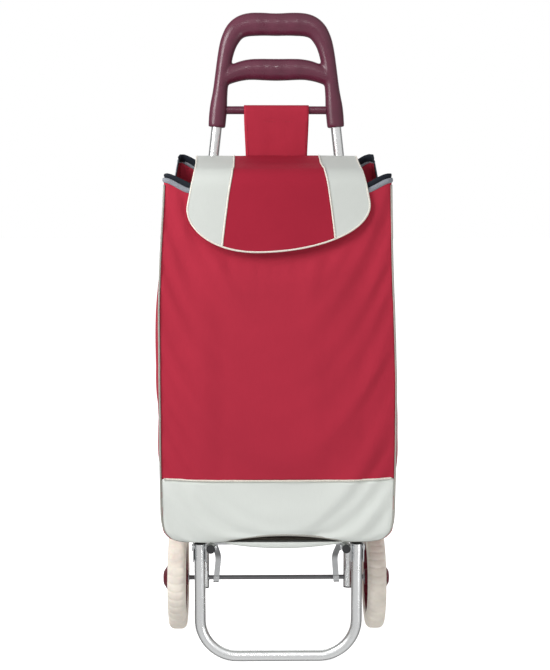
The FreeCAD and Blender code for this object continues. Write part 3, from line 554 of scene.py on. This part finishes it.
def slab(low, high, rounding, points=6):
    """(vertices, faces) of a flat board with rounded corners."""
    outline = []
    for turn, (cx, cy) in enumerate([(high.x, high.y), (low.x, high.y), (low.x, low.y), (high.x, low.y)]):
        inset = (-rounding if cx == high.x else rounding, -rounding if cy == high.y else rounding)
        for i in range(points):
            a = math.pi / 2 * (turn + i / (points - 1))
            outline.append((cx + inset[0] + rounding * math.cos(a), cy + inset[1] + rounding * math.sin(a)))
    count = len(outline)
    vertices = [(x, y, low.z) for x, y in outline] + [(x, y, high.z) for x, y in outline]
    faces = quads(2, count, round_columns=True)
    faces += [tuple(range(count - 1, -1, -1)), tuple(range(count, 2 * count))]
    return vertices, faces


def trims(points, seam):
    """The piping, the band's seam, the rim's binding and the black collar above it."""
    last = len(points) - 1
    left = seam_line(points, range(last - 1, -1, -1), [CORNERS[0]], 0.0008)
    foot = seam_line(points, [0], FRONT_SPAN, 0.0008)
    right = seam_line(points, range(last), [CORNERS[1]], 0.0008)
    path = evened(spaced(np.vstack([left, foot[1:-1], right]), 240)) - (0, 0.0006, 0)
    # The front's edge cord takes the darkened piping copy, which paints shade on it.
    trim("front_piping", path, oval(0.0027, 0.0027, 8), "edge_piping", "piping", ["bag_piping"], up=(0, 1, 0))
    path = evened(spaced(seam_line(points, [seam], FRONT_SPAN[1:-1], 0.0010), 90))
    trim("band_piping", path, oval(0.0028, 0.0028, 8), "piping", "piping")
    rim = spaced(points[last], 220, closed=True)
    on_side = smooth_step(np.minimum(rim[:, 1] - FRONT, REAR - rim[:, 1]), 0.004, 0.012)
    trim("rim_tape", rim - (0, 0, 0.0012), oval(0.0038, 0.0074, 10), "binding", "piping", ["rim_binding"],
         closed=True, scale=1 - 0.5 * on_side)
    inwards = (rim - (0, MID_DEPTH, 0)) * (1, 1, 0)
    path = rim - inwards * 0.012 + (0, 0, 0.0005)
    path[:, 2] += [0.0012 * noise.noise(tuple(p * 38)) for p in rim]
    trim("collar", path, collar_profile(), "black_fabric", "black_fabric", ["bag_collar"],
         closed=True, scale=1 - 0.75 * on_side)


def collar_profile():
    """A thin strip that stands above the rim, with a rolled hem where the cord runs, and hangs inside."""
    outer = [(0.0006, -0.003), (0.0006, 0.0030), (0.0019, 0.0045), (0.0019, 0.0072), (0.0008, 0.0085)]
    return outer + [(-x, z) for x, z in reversed(outer)]


# The flap

FLAP_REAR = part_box("flap")[1].y
FLAP_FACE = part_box("flap")[0].y
FLAP_CREST = 0.7165
FLAP_TOP = 0.7440
CREST_RADIUS = 0.028
FLAP_SLOPE = math.atan2(FLAP_TOP - FLAP_CREST, FLAP_REAR - FLAP_FACE)
FLAP_FLAT = (FLAP_REAR - FLAP_FACE - CREST_RADIUS) / math.cos(FLAP_SLOPE)
FLAP_OVER = FLAP_FLAT + CREST_RADIUS * (math.pi / 2 - FLAP_SLOPE)  # where its straight fall begins
FLAP_ROWS = 60
FLAP_SIDE, FLAP_MIDDLE = 16, 28  # columns of a grey panel and of the red one
FLAP_REACHES = [0, 0.126, 0.214, 0.239, 0.264, 0.290, 0.301]
FLAP_HALVES = [0.1226, 0.1196, 0.1184, 0.1200, 0.1241, 0.1280, FLAP_HALF]
SEAM_REACHES = [0, 0.160, 0.195, 0.224, 0.263, 0.289, 0.301]
SEAM_HALVES = [0.0652, 0.0641, 0.0663, 0.0712, 0.0762, 0.0792, 0.0803]


def flap_profile(t):
    """(y, z) at a distance along the flap from its rear seam: over the top, round the crest and down."""
    down, back = math.sin(FLAP_SLOPE), math.cos(FLAP_SLOPE)
    centre_y = FLAP_REAR - FLAP_FLAT * back + CREST_RADIUS * down
    centre_z = FLAP_TOP - FLAP_FLAT * down - CREST_RADIUS * back
    angle = FLAP_SLOPE + np.clip((t - FLAP_FLAT) / CREST_RADIUS, 0, math.pi / 2 - FLAP_SLOPE)
    fall = np.clip(t - FLAP_OVER, 0, None)
    y = np.where(t < FLAP_FLAT, FLAP_REAR - t * back, centre_y - CREST_RADIUS * np.sin(angle))
    z = np.where(t < FLAP_FLAT, FLAP_TOP - t * down, centre_z + CREST_RADIUS * np.cos(angle) - fall)
    return y, z


def flap_half(reach):
    """Half the flap's width at a distance from its rear seam: narrowest over the crest."""
    return float(np.interp(reach, FLAP_REACHES, FLAP_HALVES))


def flap_seam(reach):
    """Half the distance between the flap's two lengthwise seams, which flare towards the front."""
    return float(np.interp(reach, SEAM_REACHES, SEAM_HALVES))


def flap_grid():
    """Rows from the rear seam to the free edge; columns in three panels."""
    side = np.sin(np.linspace(0, math.pi / 2, FLAP_SIDE))
    middle = np.linspace(-1, 1, FLAP_MIDDLE)

    def across(half, seam):
        grey = seam + (half - seam) * side
        return np.concatenate([-grey[::-1], seam * middle, grey])

    to_floor = FLAP_OVER + flap_profile(FLAP_OVER)[1]
    full = to_floor - FLAP_LOW_Z
    length = to_floor - flap_bottom(across(FLAP_HALF, flap_seam(full)))
    rows = []
    for v in np.linspace(0, 1, FLAP_ROWS):
        half = flap_half(v * full)
        x = across(half, flap_seam(v * full))
        t = v * length
        y, z = flap_profile(t)
        down = np.clip((t - FLAP_OVER) / (full - FLAP_OVER), 0, 1)
        away = 0.006 * down**1.5 + 0.004 * down**2 * (abs(x) / FLAP_HALF) ** 3
        soft = np.array([noise.noise((a * 16, t_ * 16, 1.7)) for a, t_ in zip(x, t)])
        dent = -0.0022 * hump(v, 0.30, 0.1) * (1 - (x / half) ** 2)
        rows.append(np.stack([x, y - away + 0.0014 * soft * down, z + 0.0010 * soft * (1 - down) + dent], 1))
    return np.array(rows)


def build_flap():
    grid = flap_grid()
    seam_left, seam_right = FLAP_SIDE, FLAP_SIDE + FLAP_MIDDLE
    grey_flat, red_flat = (FLAP_HALF - 0.065, 0.28), (0.16, 0.32)
    for name, start, end, finish, slot, flat, replaced in (
        # The grey side panels wear the darkened grey copy, which paints shade on the flap.
        ("flap_grey_left", 0, seam_left, "flap_grey", "grey_fabric", grey_flat, ()),
        # The red panel wears the darkened red copy, which paints shade on the flap.
        ("flap_red", seam_left, seam_right, "flap_red", "red_fabric", red_flat, ["flap"]),
        ("flap_grey_right", seam_right, grid.shape[1], "flap_grey", "grey_fabric", grey_flat, ()),
    ):
        patch = grid[:, start:end]
        made = piece(name, patch.reshape(-1, 3), quads(*patch.shape[:2]), finish, slot, "flap", replaced)
        apply(made, "SUBSURF", levels=1)
        apply(made, "SOLIDIFY", thickness=FLAP_CLOTH, offset=0.0)
        flatten(made)
    edge = np.concatenate([grid[:, 0], grid[-1, 1:-1], grid[::-1, -1]])
    flap_trim("flap_piping", evened(spaced(edge, 240)), 0.0030)
    for label, column in (("left", seam_left - 1), ("right", seam_right - 1)):
        flap_trim(f"flap_seam_{label}", spaced(grid[:, column] + (0, -0.0008, 0.0008), 80), 0.0026)
    rear = spaced(grid[0] + (0, -0.0010, -0.0038), 60)
    trim("flap_rear_tape", rear, oval(0.0026, 0.008, 10), "red_fabric", None, body="flap")
    for name, node, body in (
        ("closure_hooks", "closure_hook_patch", "flap"),
        ("closure_loops", "closure_loop_patch", "frame"),
    ):
        low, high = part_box(node)
        middle = (low + high) / 2
        path = spaced([(low.x + 0.002, middle.y, middle.z), (high.x - 0.002, middle.y, middle.z)], 12)
        trim(name, path, oval(0.0012, high.z - low.z, 12), "hook_and_loop", None, [node], body)


def flap_trim(name, path, width):
    trim(name, path, oval(width, width, 8), "piping", None, body="flap", up=(0, 1, 0.35))


# The hanging strap and the webbing loops

STRAP_ROWS = 90
STITCH_PITCH, STITCH_THICK = 0.0028 + 0.0014, 0.0007  # a stitch and the gap after it
LOOP_TALL = 0.030
LOOP_POINTS, LOOP_ROWS = 60, 9


def strap_line():
    """The strap's side view: up behind the flap, over the hanger bar, and a short way down again."""
    bar_low, bar_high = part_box("hanger_bar")
    centre_y, centre_z = (bar_low.y + bar_high.y) / 2, (bar_low.z + bar_high.z) / 2
    radius = (bar_high.z - bar_low.z) / 2 + 0.0010
    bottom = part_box("hanging_strap")[0].z
    front = [(REAR + 0.0022, bottom), (REAR + 0.0022, 0.742), (centre_y - radius - 0.0002, centre_z - 0.020)]
    turns = np.linspace(math.pi, -0.25 * math.pi, 24)
    over = [(centre_y + radius * math.cos(a), centre_z + radius * math.sin(a)) for a in turns]
    back = [(centre_y - radius + 0.0042, centre_z - 0.018), (centre_y - radius + 0.0026, centre_z - 0.030)]
    return [(0, y, z) for y, z in front + over + back]


def build_strap():
    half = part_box("hanging_strap")[1].x
    line = spaced(strap_line(), STRAP_ROWS)
    across = np.linspace(-1, 1, 25)
    rows = []
    for _, y, z in line:
        width = half * (1 - 0.055 * smooth_step(0.82 - z, 0.01, 0.09))
        ripple = np.array([noise.noise((a * 2.2, z * 14, 4.0)) for a in across]) * 0.0010
        rows.append([(a * width, y - r * (z < 0.8), z) for a, r in zip(across, ripple)])
    grid = np.array(rows)
    made = piece("hang_strap", grid.reshape(-1, 3), quads(STRAP_ROWS, len(across)), "red_fabric",
                 replaces=["hanging_strap"])
    apply(made, "SOLIDIFY", thickness=STRAP_CLOTH, offset=0.0)
    for label, column in (("left", 1), ("right", 23)):
        stitches(f"strap_stitch_{label}", grid[2:52, column] + (0, -0.0009, 0))
    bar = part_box("hanger_bar")[0]
    stitches("strap_stitch_low", [(x, bar.y - 0.0016, bar.z - 0.012) for x in across * half * 0.93])


def stitches(name, path):
    """A row of short stitches along a line, as one mesh."""
    total = np.sum(np.linalg.norm(np.diff(path, axis=0), axis=1))
    count = int(total / STITCH_PITCH)
    dense = spaced(path, count * 3)
    runs = [dense[i * 3 : i * 3 + 3] for i in range(count)]
    section = oval(STITCH_THICK, STITCH_THICK, 5)
    together = joined([sweep(run, section, up=(0, 1, 0.3), scale=(0.5, 1, 0.5)) for run in runs])
    piece(name, *together, "thread", "red_fabric")


def joined(parts):
    """Several (vertices, faces) as one."""
    vertices, faces = [], []
    for part_vertices, part_faces in parts:
        faces += [[n + len(vertices) for n in face] for face in part_faces]
        vertices += [tuple(p) for p in part_vertices]
    return vertices, faces


def build_loops(points):
    """Four webbing bands, each sewn to the bag's rear and round an upright."""
    rear = points[:, REAR_SPAN].reshape(-1, 3)

    def clear_of_rear(x, y, z):
        surface = rear[np.argmin((rear[:, 0] - x) ** 2 + (rear[:, 2] - z) ** 2), 1]
        return max(y, surface + 0.0013)

    low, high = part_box("bag_loops")
    tube_low, tube_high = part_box("upright_right")
    centre_y = (tube_low.y + tube_high.y) / 2
    radius = (tube_high.y - tube_low.y) / 2 + 0.0012
    tube_x = tube_high.x - (tube_high.y - tube_low.y) / 2
    turns = np.linspace(1.12 * math.pi, -0.12 * math.pi, 22)
    outline = [(-0.0088, REAR + 0.0012)]
    outline += [(radius * math.cos(a), centre_y + radius * math.sin(a)) for a in turns]
    outline += [(0.016, REAR + 0.0014), (0.030, REAR + 0.0012)]
    for side, label in ((-1, "left"), (1, "right")):
        for level, z in (("low", low.z), ("high", high.z - LOOP_TALL)):
            line = spaced([(side * (tube_x + x), y, 0) for x, y in outline], LOOP_POINTS)
            heights = np.linspace(z, z + LOOP_TALL, LOOP_ROWS)
            grid = np.array([[(x, clear_of_rear(x, y, h), h) for h in heights] for x, y, _ in line])
            made = piece(f"loop_{level}_{label}", grid.reshape(-1, 3), quads(LOOP_POINTS, LOOP_ROWS),
                         "webbing", replaces=["bag_loops"])
            apply(made, "SOLIDIFY", thickness=WEBBING, offset=0.0)


# The handle: swept grips and legs, melted together

# Half lines (x, z) from an upright to the middle, with the moulding's width along each
LEG_LINE = [(0.0921, 0.7885), (0.0895, 0.818), (0.0868, 0.842), (0.0838, 0.866), (0.0798, 0.892),
            (0.0765, 0.908), (0.0718, 0.922), (0.0625, 0.9375), (0.047, 0.9455), (0.022, 0.9462),
            (0.0, 0.9452)]
LEG_WIDTHS = [0.0134, 0.0140, 0.0114, 0.0112, 0.0118, 0.0126, 0.0140, 0.0160, 0.0180, 0.0178, 0.0172]
GRIP_LINE = [(0.083, 0.862), (0.072, 0.868), (0.060, 0.8735), (0.042, 0.8775), (0.02, 0.8772), (0.0, 0.8765)]
GRIP_WIDTHS = [0.0110, 0.0130, 0.0148, 0.0160, 0.0168, 0.0170]
LEG_DEPTH, GRIP_DEPTH = 0.0130, 0.0125
FINGER_PITCH = 0.030
VOXEL = 0.0013


def both_sides(line, widths):
    """A half line and its widths, mirrored to the other side and joined through the middle."""
    path = [(-x, 0.0, z) for x, z in line] + [(x, 0.0, z) for x, z in line[-2::-1]]
    return path, list(widths) + list(widths[-2::-1])


def smooth_line(path, widths, count):
    """A path and its widths, rounded through the given points and spaced evenly."""
    path = np.column_stack([np.array(path, float), widths])
    for _ in range(3):
        cut = [path[0]]
        for a, b in zip(path[:-1], path[1:]):
            cut += [0.75 * a + 0.25 * b, 0.25 * a + 0.75 * b]
        path = np.array(cut + [path[-1]])
    steps = np.concatenate([[0], np.cumsum(np.linalg.norm(np.diff(path[:, :3], axis=0), axis=1))])
    places = np.linspace(0, steps[-1], count)
    return np.stack([np.interp(places, steps, path[:, k]) for k in range(4)], 1)


def build_handle():
    """Grips and legs of changing width, melted into one skin, with soft finger waves on the grips."""
    low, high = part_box("upright_left")
    centre_y = (low.y + high.y) / 2
    profile = [(math.cos(a), math.sin(a)) for a in np.linspace(0, 2 * math.pi, 28, endpoint=False)]
    parts = []
    for line, widths, depth in ((LEG_LINE, LEG_WIDTHS, LEG_DEPTH), (GRIP_LINE, GRIP_WIDTHS, GRIP_DEPTH)):
        path = smooth_line(*both_sides(line, widths), 160)
        path[:, 1] = centre_y
        rings, faces = sweep(path[:, :3], profile, up=(0, 1, 0))
        centre = path[:, None, :3]
        offset = rings.reshape(len(path), len(profile), 3) - centre
        scaled = offset * path[:, None, 3:]
        near_middle = 1 - smooth_step(abs(path[:, 0]), 0.03, 0.05)
        fingers = 1 + 0.05 * np.cos(2 * math.pi * path[:, 0] / FINGER_PITCH) * near_middle
        scaled[:, :, 1] = np.sign(offset[:, :, 1]) * np.abs(offset[:, :, 1]) ** 0.9 * depth * fingers[:, None]
        parts.append(((centre + scaled).reshape(-1, 3), faces))
    made = piece("handle", *joined(parts), "handle_plastic", replaces=["handle_moulding"])
    apply(made, "REMESH", mode="VOXEL", voxel_size=VOXEL, use_smooth_shade=True)
    apply(made, "SMOOTH", factor=0.5, iterations=30)
    made.data.polygons.foreach_set("use_smooth", [True] * len(made.data.polygons))


# Tyres

TREAD = 40  # grooves round a tyre
TYRE_TALL = 0.023


def build_tyre(label):
    """A cream foam tyre with shallow curved grooves across its tread and shoulders."""
    node = f"tyre_{label}"
    low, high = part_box(node)
    centre = (low + high) / 2
    outer, half = (high.z - low.z) / 2, (high.x - low.x) / 2
    section = tyre_section(outer - TYRE_TALL, outer, half)
    steps = TREAD * 8
    vertices = []
    for i in range(steps):
        angle = 2 * math.pi * i / steps
        for across, radius, weight in section:
            phase = TREAD * (angle + 0.055 * (1 - (across / half) ** 2))
            groove = 0.0013 * weight * max(0, math.cos(phase) - 0.35) / 0.65
            x = across * (1 - 0.35 * groove / half)
            r = radius - groove
            vertices.append(centre + Vector((x, r * math.sin(angle), r * math.cos(angle))))
    faces = quads(steps, len(section), round_rows=True, round_columns=True)
    piece(f"foam_{node}", vertices, faces, "tyre_foam", body=f"wheel_{label}", replaces=[node])


def tyre_section(inner, outer, half):
    """(across, radius, groove weight) round the tyre's section."""
    rounding = 0.009
    points = []
    for share in np.linspace(0, 1, 6):
        points.append((-half + 2 * half * share, inner, 0))
    for share in np.linspace(0.15, 1, 6):
        radius = inner + (outer - rounding - inner) * share
        points.append((half + 0.0004 * math.sin(math.pi * share), radius, smooth_step(share, 0.55, 1)))
    for turn in np.linspace(0, math.pi / 2, 7)[1:]:
        in_by, up_by = rounding * (1 - math.cos(turn)), rounding * math.sin(turn)
        points.append((half - in_by, outer - rounding + up_by, 1.0))
    for share in np.linspace(1, -1, 7)[1:-1]:
        points.append(((half - rounding) * share, outer, 0.75))
    mirrored = [(-a, r, w) for a, r, w in points[6:17]][::-1]
    return points + mirrored


# Camera, light and floor

CAMERA_LENS = 77.9
CAMERA_PLACE = (-0.038, -2.200, 0.663)
CAMERA_ASIDE, CAMERA_DOWN = -0.91, 4.97  # degrees
# World brightness by direction: from below (0) to above (1), and from behind (0) to ahead (1)
SOFT_BY_HEIGHT = [(0.0, 0.66), (0.45, 0.66), (0.60, 0.44), (1.0, 0.40)]
BANDS_BY_DEPTH = [(0.0, 1.0), (0.30, 0.92), (0.50, 0.70), (0.60, 0.22), (0.70, 0.15), (0.82, 0.42),
                  (1.0, 0.55)]
BANDS_BY_HEIGHT = [(0.0, 0.80), (0.25, 0.72), (0.42, 0.60), (0.50, 0.62), (0.62, 0.85), (0.80, 1.0)]


def camera():
    """At the height of the flap, a little left of the middle, looking slightly down."""
    data = bpy.data.cameras.new("camera")
    data.lens = CAMERA_LENS
    made = bpy.data.objects.new("camera", data)
    scene.collection.objects.link(made)
    aside = Matrix.Rotation(math.radians(CAMERA_ASIDE), 4, "Z")
    tilt = Matrix.Rotation(math.radians(90 - CAMERA_DOWN), 4, "X")
    made.matrix_world = Matrix.Translation(CAMERA_PLACE) @ aside @ tilt
    scene.camera = made


def grey_steps(nodes, links, value, stops):
    """A factor from -1 to 1 turned into greys, as a number socket."""
    shift = nodes.new("ShaderNodeMapRange")
    shift.inputs["From Min"].default_value = -1
    links.new(value, shift.inputs["Value"])
    ramp = nodes.new("ShaderNodeValToRGB")
    fill_ramp(ramp, stops)
    links.new(shift.outputs["Result"], ramp.inputs["Fac"])
    return ramp.outputs["Color"]


def world():
    """White to the eye; soft light from below for cloth; light and dark bands for metal to reflect."""
    made = bpy.data.worlds.new("studio")
    made.use_nodes = True
    scene.world = made
    nodes, links = made.node_tree.nodes, made.node_tree.links
    seen = nodes["Background"]
    seen.inputs["Color"].default_value = (1, 1, 1, 1)
    soft, bands = nodes.new("ShaderNodeBackground"), nodes.new("ShaderNodeBackground")
    split = nodes.new("ShaderNodeSeparateXYZ")
    links.new(nodes.new("ShaderNodeTexCoord").outputs["Generated"], split.inputs["Vector"])
    links.new(grey_steps(nodes, links, split.outputs["Z"], SOFT_BY_HEIGHT), soft.inputs["Strength"])
    product = nodes.new("ShaderNodeMath")
    product.operation = "MULTIPLY"
    links.new(grey_steps(nodes, links, split.outputs["Y"], BANDS_BY_DEPTH), product.inputs[0])
    links.new(grey_steps(nodes, links, split.outputs["Z"], BANDS_BY_HEIGHT), product.inputs[1])
    links.new(product.outputs[0], bands.inputs["Strength"])
    for background in (soft, bands):
        background.inputs["Color"].default_value = (1, 1, 1, 1)
    path = nodes.new("ShaderNodeLightPath")
    unseen, all_rays = nodes.new("ShaderNodeMixShader"), nodes.new("ShaderNodeMixShader")
    links.new(path.outputs["Is Glossy Ray"], unseen.inputs["Fac"])
    links.new(soft.outputs["Background"], unseen.inputs[1])
    links.new(bands.outputs["Background"], unseen.inputs[2])
    links.new(path.outputs["Is Camera Ray"], all_rays.inputs["Fac"])
    links.new(unseen.outputs["Shader"], all_rays.inputs[1])
    links.new(seen.outputs["Background"], all_rays.inputs[2])
    links.new(all_rays.outputs["Shader"], nodes["World Output"].inputs["Surface"])


def softbox(name, place, target, size, power):
    data = bpy.data.lights.new(name, "AREA")
    data.shape = "RECTANGLE"
    data.size, data.size_y = size
    data.energy = power
    made = bpy.data.objects.new(name, data)
    scene.collection.objects.link(made)
    made.location = place
    aim = Vector(target) - made.location
    made.rotation_euler = aim.to_track_quat("-Z", "Y").to_euler()


def floor_finish():
    """White studio paper, bright enough to merge with the backdrop away from the object's soft shadows."""
    glow = {"Emission_Color": (1, 1, 1, 1), "Emission_Strength": 0.76}
    finish = Finish("floor_paper", 0.95, Specular_IOR_Level=0.05, **glow)
    finish.ramp(finish.noise(300, 3), [(0.3, 0.92), (0.7, 0.94)], "Base Color")
    return finish.material


def floor():
    reach = 30
    corners = [(x * reach, y * reach, 0) for x, y in ((-1, -1), (1, -1), (1, 1), (-1, 1))]
    mesh = bpy.data.meshes.new("floor")
    mesh.from_pydata(corners, [], [(0, 1, 2, 3)])
    made = bpy.data.objects.new("floor", mesh)
    scene.collection.objects.link(made)
    made.data.materials.append(floor_finish())
    made.visible_diffuse = made.visible_glossy = False


camera()
world()
softbox("key", (-0.95, -0.75, 1.15), (0, 0, 0.45), (0.6, 0.7), 14)
softbox("brow", (0.05, -2.3, 1.9), (0, 0, 0.9), (0.35, 0.16), 5)
softbox("fill", (0.75, -0.9, 0.06), (0.16, 0, 0.08), (0.3, 0.3), 2)
softbox("back", (0.4, 2.0, 1.8), (0, 0, 0.5), (2.2, 1.6), 10)
floor()
scene.view_settings.view_transform = "Standard"
for row in frame["record"]["subparts"]:
    node = frame["nodes"][row["node"]]
    node.data.materials.clear()
    node.data.materials.append(FINISHES[row["material_slot"]])
shell = build_bag()
build_flap()
build_tyre("left")
build_tyre("right")
build_handle()
build_strap()
build_loops(shell)
